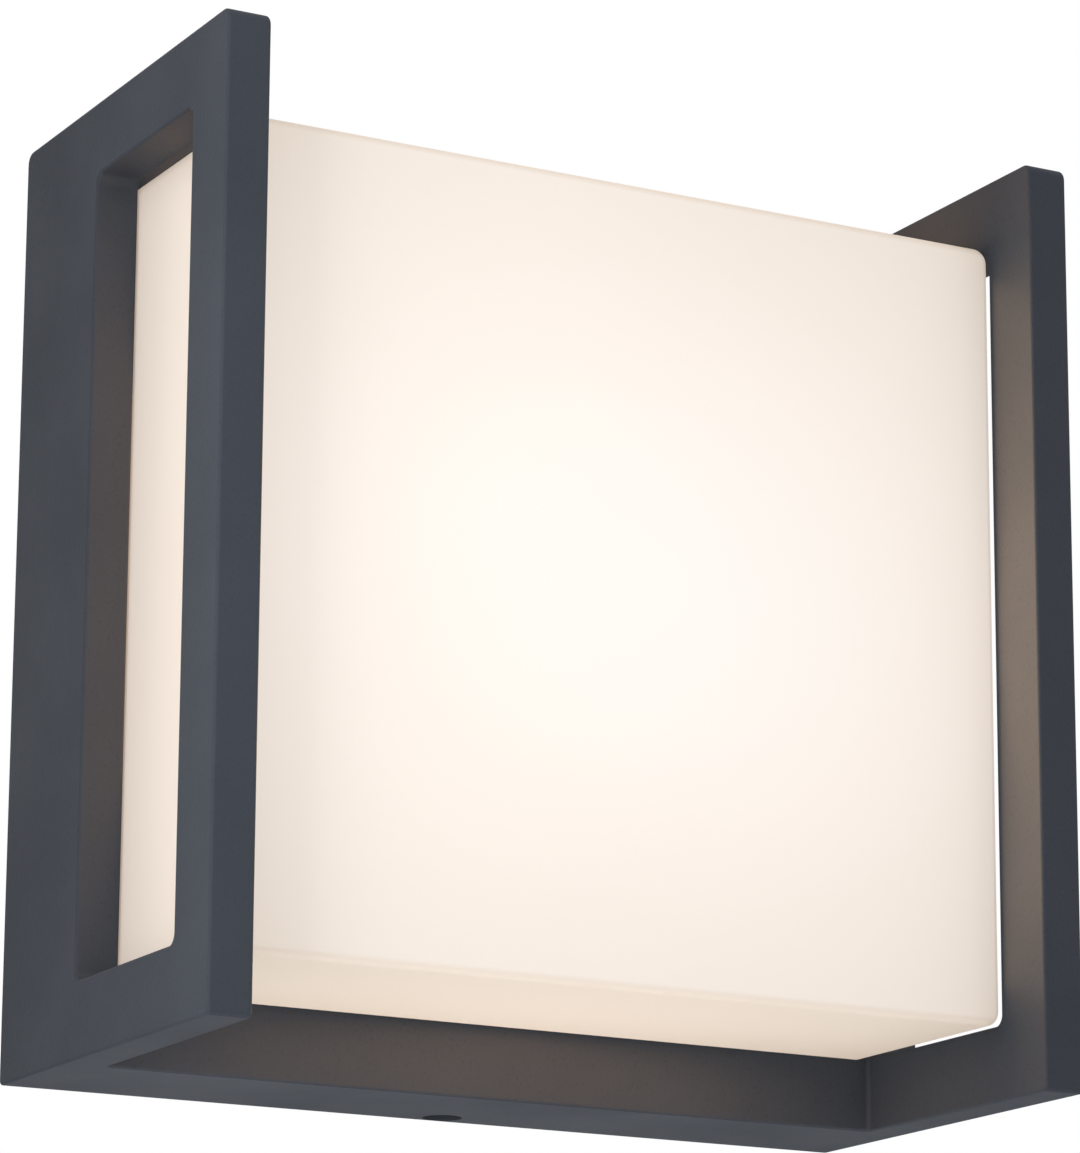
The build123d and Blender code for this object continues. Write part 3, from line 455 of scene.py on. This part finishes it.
def seats(node, head_r, head_h, to_wall):
    """Seat centres of a part's screws, one inside each corner of its box."""
    low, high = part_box(node)
    depth = high.y - head_h if to_wall else low.y + head_h
    xs = sorted({round(low.x + head_r, 5), round(high.x - head_r, 5)})
    zs = sorted({round(low.z + head_r, 5), round(high.z - head_r, 5)})
    return [(x, depth, z) for x in xs for z in zs]


stainless = metal_finish("bright_stainless", linear(206, 205, 202), linear(150, 149, 146), rough=(0.24, 0.38),
                         patch_scale=220.0, mark_scale=5200.0, stretch=(1.0, 1.0, 1.0), bump=0.00001)
facing_wall = (-math.pi / 2, 0.0, 0.0)
facing_room = (math.pi / 2, 0.0, 0.0)
facing_down = (math.pi, 0.0, 0.0)
pan_head = {
    "Head Radius": 0.00275, "Head Height": 0.0020, "Crown": 0.45, "Shank Radius": 0.00145, "Pitch": 0.0005,
    "Recess Width": 0.00075, "Recess Length": 0.0031, "Recess Depth": 0.0010, "Material": stainless}
earth_head = {
    "Head Radius": 0.0035, "Head Height": 0.0026, "Crown": 0.45, "Shank Radius": 0.00195, "Pitch": 0.0007,
    "Recess Width": 0.0010, "Recess Length": 0.0040, "Recess Depth": 0.0013, "Material": stainless}
cheese_head = {
    "Head Radius": 0.0030, "Head Height": 0.0024, "Crown": 0.12, "Shank Radius": 0.00175, "Pitch": 0.0007,
    "Recess Width": 0.0009, "Recess Length": 0.0064, "Recess Depth": 0.0011, "Slotted": True,
    "Material": stainless}

# piece, node, kind, shank length, way it faces, body
screw_sets = (
    ("threaded_diffuser_screws", "diffuser_screws", pan_head, 0.0110, facing_wall, "lantern"),
    ("threaded_driver_screws", "driver_screws", pan_head, 0.0048, facing_wall, "lantern"),
    ("threaded_terminal_block_screws", "terminal_block_screws", pan_head, 0.0126, facing_wall, "lantern"),
    ("threaded_led_board_screws", "led_board_screws", pan_head, 0.0049, facing_room, "lantern"),
    ("threaded_earth_screw", "earth_screw", earth_head, 0.0060, facing_wall, "lantern"),
    ("threaded_locking_screw", "locking_screw", cheese_head, 0.0071, facing_down, "locking_screw"),
)
for name, node, kind, shank_l, way, body in screw_sets:
    if way is facing_down:
        low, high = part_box(node)
        places = [((low.x + high.x) / 2, (low.y + high.y) / 2, low.z + kind["Head Height"])]
    else:
        places = seats(node, kind["Head Radius"], kind["Head Height"], way is facing_wall)
    screws = grown(name, places, screw_tree, {**kind, "Shank Length": shank_l, "Turn": way})
    shade_by_angle(screws, crisp_head)
    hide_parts(node)
    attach(screws, body)

# ---- Driver -------------------------------------------------------------------------------------------
# A constant-current driver in a white moulded case with a snap-in lid, screwed by its two tabs to the back of
# the web. Inside are its green circuit board, taped transformer, sleeved capacitors and wound choke.
band_edge = 0.05
band_shade = 0.8
polycarbonate = moulded_finish("white_polycarbonate", linear(232, 232, 229), linear(216, 216, 213),
                               rough=(0.38, 0.48), grain_scale=1500.0, cloud_scale=60.0, bump=0.00002)
dress("driver_case", polycarbonate)
dress("driver_lid", polycarbonate)


def shaded(colour, share):
    """A colour darkened to a share of itself."""
    return tuple(share * part for part in colour[:3]) + (1.0,)


def banded_finish(name, ground, band, scale, axis, above, rough):
    """Bands of a second colour across one axis, where its wave rises above a level, over an uneven ground."""
    material, tree, shader = fresh_material(name, {"Roughness": rough})
    where = add_node(tree, "ShaderNodeTexCoord").outputs["Object"]
    waves = add_node(tree, "ShaderNodeTexWave", {"bands_direction": axis, "wave_profile": "SIN"}, {
        "Vector": where, "Scale": scale, "Distortion": 0.6, "Detail": 1.0}).outputs["Fac"]
    skin = fine_skin(tree, grain_scale=2500.0, cloud_scale=150.0)
    uneven = blend(tree, skin["Clouds"], ground, shaded(ground, band_shade))
    in_band = ranged(tree, waves, above - band_edge, above + band_edge)
    surface(tree, shader, blend(tree, in_band, uneven, band), waves, strength=0.4, depth=0.00005)
    return material


# node, finish, ground, band, how close the bands lie, axis they cross, level above which they show,
# roughness
driver_finishes = (
    ("driver_board", "green_circuit_board", (24, 92, 52), (58, 128, 74), 260.0, "X", 0.8, 0.35),
    ("driver_transformer", "yellow_winding_tape", (224, 178, 52), (196, 148, 34), 420.0, "Z", 0.7, 0.4),
    ("driver_capacitors", "capacitor_sleeve", (30, 34, 52), (188, 190, 196), 70.0, "Z", 0.93, 0.3),
    ("driver_choke", "wound_ferrite", (54, 50, 49), (120, 66, 38), 700.0, "Y", 0.6, 0.45),
)
for node, finish, ground, band, scale, axis, above, rough in driver_finishes:
    dress(node, banded_finish(finish, linear(*ground), linear(*band), scale, axis, above, rough))

# ---- Terminal block -----------------------------------------------------------------------------------
# Three poles in a moulded nylon body: a drilled brass clamp in each, with two slotted steel screws that
# press the conductors into it.
nylon = moulded_finish("natural_nylon", linear(228, 226, 217), linear(206, 203, 193), rough=(0.42, 0.55),
                       grain_scale=1700.0, cloud_scale=110.0, bump=0.00003)
brass = metal_finish("drawn_brass", linear(214, 178, 104), linear(168, 130, 66), rough=(0.24, 0.40),
                     patch_scale=180.0, mark_scale=2600.0, stretch=(1.0, 1.0, 0.1), bump=0.00001)
dress("terminal_block", nylon)
dress("terminal_clamps", brass)
dress("terminal_screws", zinc)

# ---- Earth point --------------------------------------------------------------------------------------
# A tinned ring lug crimped to the earth wire, held to a bare boss of the casting by a screw and a toothed
# washer that bites into the metal.
tinned = metal_finish("tinned_copper", linear(205, 203, 198), linear(168, 164, 158), rough=(0.28, 0.42),
                      patch_scale=260.0, mark_scale=2600.0, stretch=(1.0, 1.0, 1.0), bump=0.00001)
dress("earth_lug", tinned)
dress("earth_washer", zinc)

# ---- Wiring -------------------------------------------------------------------------------------------
# Single-core PVC wires from the terminal block, each in one smooth bend: brown and blue into the driver, and
# green, with a yellow stripe extruded along it, to the lug. A black and a red lead go on to the LED board.
wire_r = 0.00095
wire_sides = 24
mm_per_metre = 1000
stripes_round = 2
stripe_edge = 0.04
sleeve_shade = 0.78
no_stripe = 2.0
crisp_end = 50

wire_tree, given, out = geometry_group("insulated_wire", [
    ("Radius", "NodeSocketFloat", wire_r), ("Sides", "NodeSocketInt", wire_sides),
    ("Material", "NodeSocketMaterial", None)])
along = add_node(wire_tree, "GeometryNodeMeshToCurve", inputs={"Mesh": given.outputs["Geometry"]})
ring = add_node(wire_tree, "GeometryNodeCurvePrimitiveCircle", inputs={
    "Resolution": given.outputs["Sides"], "Radius": given.outputs["Radius"]})
# each point of the ring carries its own mark, from which the stripe on the sleeve is told
turn = add_node(wire_tree, "GeometryNodeSplineParameter")
angle = maths(wire_tree, "MULTIPLY", turn.outputs["Factor"], stripes_round * math.tau)
marked = add_node(wire_tree, "GeometryNodeStoreNamedAttribute", {"data_type": "FLOAT", "domain": "POINT"}, {
    "Name": "around", "Geometry": ring.outputs[0], "Value": maths(wire_tree, "COSINE", angle)})
tube = add_node(wire_tree, "GeometryNodeCurveToMesh", inputs={
    "Curve": along.outputs[0], "Profile Curve": marked.outputs[0], "Fill Caps": True})
solid = add_node(wire_tree, "GeometryNodeRealizeInstances", inputs={0: tube.outputs[0]})
sleeved = add_node(wire_tree, "GeometryNodeSetMaterial", inputs={
    "Geometry": solid.outputs[0], "Material": given.outputs["Material"]})
wire_up(wire_tree, sleeved.outputs[0], out.inputs["Geometry"])


def insulation(name, ground, stripe, above):
    """Glossy PVC, with a stripe where the wire's own mark around it rises above a level."""
    material, tree, shader = fresh_material(name, {"Roughness": 0.34})
    mark = add_node(tree, "ShaderNodeAttribute", {"attribute_name": "around"}).outputs["Fac"]
    skin = fine_skin(tree, grain_scale=3000.0, cloud_scale=220.0)
    uneven = blend(tree, skin["Clouds"], ground, shaded(ground, sleeve_shade))
    in_stripe = ranged(tree, mark, above - stripe_edge, above + stripe_edge)
    colour = blend(tree, in_stripe, uneven, stripe)
    surface(tree, shader, colour, skin["Height"], strength=0.2, depth=0.00001)
    return material


def smooth_route(name, points):
    """Points and edges of the smooth line that a route's points control."""
    curve = bpy.data.curves.new(name, "CURVE")
    curve.dimensions = "3D"
    line = curve.splines.new("NURBS")
    line.points.add(len(points) - 1)
    for held, (x, depth, z) in zip(line.points, points):
        held.co = (x / mm_per_metre, -depth / mm_per_metre, z / mm_per_metre, 1.0)
    line.order_u = 3
    line.use_endpoint_u = True
    line.resolution_u = 12
    carrier = bpy.data.objects.new(name, curve)
    scene.collection.objects.link(carrier)
    traced = bpy.data.meshes.new_from_object(carrier.evaluated_get(bpy.context.evaluated_depsgraph_get()))
    places = [tuple(v.co) for v in traced.vertices]
    joins = [tuple(e.vertices) for e in traced.edges]
    bpy.data.objects.remove(carrier)
    bpy.data.curves.remove(curve)
    bpy.data.meshes.remove(traced)
    return places, joins


brown, blue = linear(96, 56, 34), linear(44, 92, 176)
green, yellow = linear(46, 132, 60), linear(232, 208, 50)
# node, slot, ground, stripe, level above which the stripe shows, route as (x, depth, z) in millimetres
wires = (
    ("wire_live", "brown_insulation", brown, brown, no_stripe,
     ((-13, 17, -19.1), (-13, 17, -3.7), (-20, 16.8, 10.25), (-20, 16.8, 23.6))),
    ("wire_neutral", "blue_insulation", blue, blue, no_stripe,
     ((-22, 17, -19.1), (-22, 17, -5.25), (-26, 16.8, 8.7), (-26, 16.8, 23.6))),
    ("wire_earth", "green_yellow_insulation", green, yellow, 0.1,
     ((-31, 17, -19.1), (-31, 17, -3.7), (-44.5, 18.3, 2.5), (-58, 19.6, -5.0), (-58, 19.6, -22.65))),
)
for node, finish, ground, stripe, above, route in wires:
    places, joins = smooth_route(node + "_route", route)
    sleeve = insulation(finish, ground, stripe, above)
    wire = grown("sleeved_" + node, places, wire_tree, {
        "Radius": wire_r, "Sides": wire_sides, "Material": sleeve}, joins)
    shade_by_angle(wire, crisp_end)
    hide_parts(node)
    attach(wire, "lantern")

dress("led_lead_black", moulded_finish(
    "black_insulation", linear(34, 34, 35), linear(20, 20, 21), rough=(0.32, 0.40),
    grain_scale=3000.0, cloud_scale=220.0, bump=0.00001))
dress("led_lead_red", moulded_finish(
    "red_insulation", linear(186, 36, 32), linear(150, 24, 22), rough=(0.32, 0.40),
    grain_scale=3000.0, cloud_scale=220.0, bump=0.00001))

# ---- LED board ----------------------------------------------------------------------------------------
# An aluminium board with white solder mask on a silicone heat pad, sixteen LEDs in rows of four, and a nylon
# connector for the two leads that come through a rubber grommet in the web.
dress("thermal_pad", moulded_finish(
    "grey_heat_pad", linear(156, 161, 166), linear(136, 141, 147), rough=(0.7, 0.8),
    grain_scale=1200.0, cloud_scale=90.0, bump=0.00004))
dress("led_board", banded_finish(
    "white_solder_mask", linear(238, 239, 238), linear(214, 218, 216), scale=57.0, axis="X", above=0.9,
    rough=0.3))
dress("led_connector", nylon)
dress("lead_grommet", rubber)

# each LED is a white package with a yellow phosphor window in its middle
chip_pitch = 0.011
window_half = {"X": 0.0010, "Z": 0.00135}
phosphor, tree, shader = fresh_material("led_phosphor", {"Roughness": 0.3})
where = add_node(tree, "ShaderNodeTexCoord")
place = add_node(tree, "ShaderNodeSeparateXYZ", inputs={0: where.outputs["Object"]})
inside = []
for axis, half in window_half.items():
    nearest = maths(tree, "ADD", place.outputs[axis], chip_pitch / 2)
    off = maths(tree, "ABSOLUTE", maths(tree, "WRAP", nearest, chip_pitch / 2, -chip_pitch / 2))
    inside.append(maths(tree, "LESS_THAN", off, half))
window = maths(tree, "MULTIPLY", *inside)
skin = fine_skin(tree, grain_scale=5000.0, cloud_scale=400.0)
gel = blend(tree, skin["Clouds"], linear(240, 200, 84), linear(226, 178, 60))
chip = blend(tree, window, linear(236, 234, 226), gel)
surface(tree, shader, chip, skin["Height"], strength=0.2, depth=0.00001)
dress("led_chips", phosphor)

# ---- Reflector ----------------------------------------------------------------------------------------
# A steel sheet round the LED board, punched and enamelled white, that throws the light forward. Four
# aluminium rivets hold it to the front of the web.
dress("reflector", moulded_finish(
    "white_enamel", linear(240, 240, 237), linear(230, 230, 226), rough=(0.25, 0.34),
    grain_scale=700.0, cloud_scale=30.0, bump=0.00001))
dress("reflector_rivets", metal_finish(
    "soft_aluminium", linear(214, 214, 214), linear(176, 176, 178), rough=(0.3, 0.42),
    patch_scale=240.0, mark_scale=2400.0, stretch=(1.0, 1.0, 1.0), bump=0.00001))

# ---- Diffuser seal ------------------------------------------------------------------------------------
# An endless silicone cord, milky and a little clear, pressed into the groove that runs round the front of
# the back box.
silicone = moulded_finish("clear_silicone", linear(214, 218, 216), linear(196, 200, 199), rough=(0.38, 0.5),
                          grain_scale=1500.0, cloud_scale=80.0, bump=0.00001)
silicone.node_tree.nodes["Principled BSDF"].inputs["Transmission Weight"].default_value = 0.35
silicone.node_tree.nodes["Principled BSDF"].inputs["IOR"].default_value = 1.41
dress("diffuser_seal", silicone)

# ---- Diffuser -----------------------------------------------------------------------------------------
# Injection moulded in opal polycarbonate, 2.5 mm thick, with a satin skin, and screwed on from behind. The
# lit board behind its middle makes a wide soft glow that fades and warms towards the edges.
glow_stops = ((0.00, (0.535, 0.520, 0.500)), (0.165, (0.550, 0.500, 0.450)), (0.25, (0.528, 0.450, 0.400)),
              (0.325, (0.500, 0.430, 0.380)), (0.465, (0.415, 0.350, 0.290)), (0.55, (0.405, 0.310, 0.240)),
              (0.75, (0.390, 0.305, 0.235)), (1.00, (0.365, 0.290, 0.235)))
glow_reach = 0.200
glow_fade_back = 6.0
glow_centre_x = -0.004
glow_narrow, glow_tall = 0.93, 1.20
wall_glow_front = (0.345, 0.245, 0.165, 1.0)
wall_glow_rear = (0.460, 0.340, 0.240, 1.0)
wall_glow_side = (0.255, 0.185, 0.120, 1.0)
wall_starts, wall_full = 0.0016, 0.0002
side_reach, side_share = 1.25, 0.7
low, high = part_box("diffuser")
middle, span = (low + high) / 2, high - low
opal, tree, shader = fresh_material("lit_opal_polycarbonate", {
    "Roughness": 0.42, "Specular IOR Level": 0.35, "Emission Strength": 1.0})
where = add_node(tree, "ShaderNodeTexCoord").outputs["Object"]
centred = add_node(tree, "ShaderNodeMapping", inputs={
    "Vector": where, "Location": (glow_centre_x, -glow_fade_back * low.y, 0.0),
    "Scale": (glow_narrow, glow_fade_back, glow_tall)})
away = add_node(tree, "ShaderNodeVectorMath", {"operation": "LENGTH"}, {0: centred.outputs[0]})
reach = ranged(tree, away.outputs["Value"], 0.0, glow_reach)
glow = add_node(tree, "ShaderNodeValToRGB", inputs={"Fac": reach})
glow.color_ramp.interpolation = "B_SPLINE"
ramp = glow.color_ramp.elements
for end, (place, tint) in ((0, glow_stops[0]), (1, glow_stops[-1])):
    ramp[end].position, ramp[end].color = place, tint + (1.0,)
for place, tint in glow_stops[1:-1]:
    ramp.new(place).color = tint + (1.0,)
# the top and the underside of the box are warmer, from just inside their faces outwards: brightest beside
# the board, and dimmer towards the front and the sides
place_in = add_node(tree, "ShaderNodeSeparateXYZ", inputs={0: where}).outputs
off_middle = maths(tree, "ABSOLUTE", place_in["Z"])
on_wall = ranged(tree, off_middle, high.z - wall_starts, high.z - wall_full, kind="SMOOTHSTEP")
depth_in = ranged(tree, place_in["Y"], low.y, high.y)
from_front = blend(tree, depth_in, wall_glow_front, wall_glow_rear)
aside = maths(tree, "ABSOLUTE", place_in["X"])
to_side = ranged(tree, aside, 0.0, side_reach * high.x, last=side_share, kind="SMOOTHSTEP")
wall_glow = blend(tree, to_side, from_front, wall_glow_side)
wire_up(tree, blend(tree, on_wall, glow.outputs["Color"], wall_glow), shader.inputs["Emission Color"])
skin = fine_skin(tree, grain_scale=1800.0, cloud_scale=18.0)
satin = blend(tree, skin["Clouds"], linear(192, 188, 183), linear(185, 181, 175))
surface(tree, shader, satin, skin["Height"], strength=0.2, depth=0.00001)
dress("diffuser", opal)

# what the glow casts on the casting and the room: sheets of light just off the diffuser's faces, two at the
# front and one each at the left, right, bottom and top, which go with the lantern
sheet_gap = 0.0002
left_depth, other_depth = span.y - 0.002, span.y - 0.004
in_front = (middle.x, low.y - sheet_gap, middle.z)
at_left, at_right = (low.x - sheet_gap, middle.y, middle.z), (high.x + sheet_gap, middle.y, middle.z)
underneath, on_top = (middle.x, middle.y, low.z - sheet_gap), (middle.x, middle.y, high.z + sheet_gap)
# name, shape, place, way it faces, width, height, power, colour
glow_sheets = (
    ("glow_front", "ELLIPSE", in_front, (0, -1, 0), 0.138, 0.146, 0.245, (1.0, 0.66, 0.38)),
    ("glow_front_even", "RECTANGLE", in_front, (0, -1, 0), 0.138, 0.120, 0.142, (1.0, 0.66, 0.38)),
    ("glow_left", "ELLIPSE", at_left, (-1, 0, 0), left_depth, 0.128, 0.0150, (1.0, 0.52, 0.22)),
    ("glow_right", "ELLIPSE", at_right, (1, 0, 0), other_depth, 0.124, 0.0120, (1.0, 0.55, 0.27)),
    ("glow_below", "ELLIPSE", underneath, (0, 0, -1), 0.116, other_depth, 0.0275, (1.0, 0.58, 0.31)),
    ("glow_above", "RECTANGLE", on_top, (0, 0, 1), 0.132, other_depth, 0.0400, (1.0, 0.53, 0.24)),
)
for name, shape, place, way, wide, tall, power, tint in glow_sheets:
    sheet = flat_lamp(name, shape, place, way, wide, tall, power)
    sheet.data.color = tint
    sheet.parent = frame["bodies"]["lantern"]
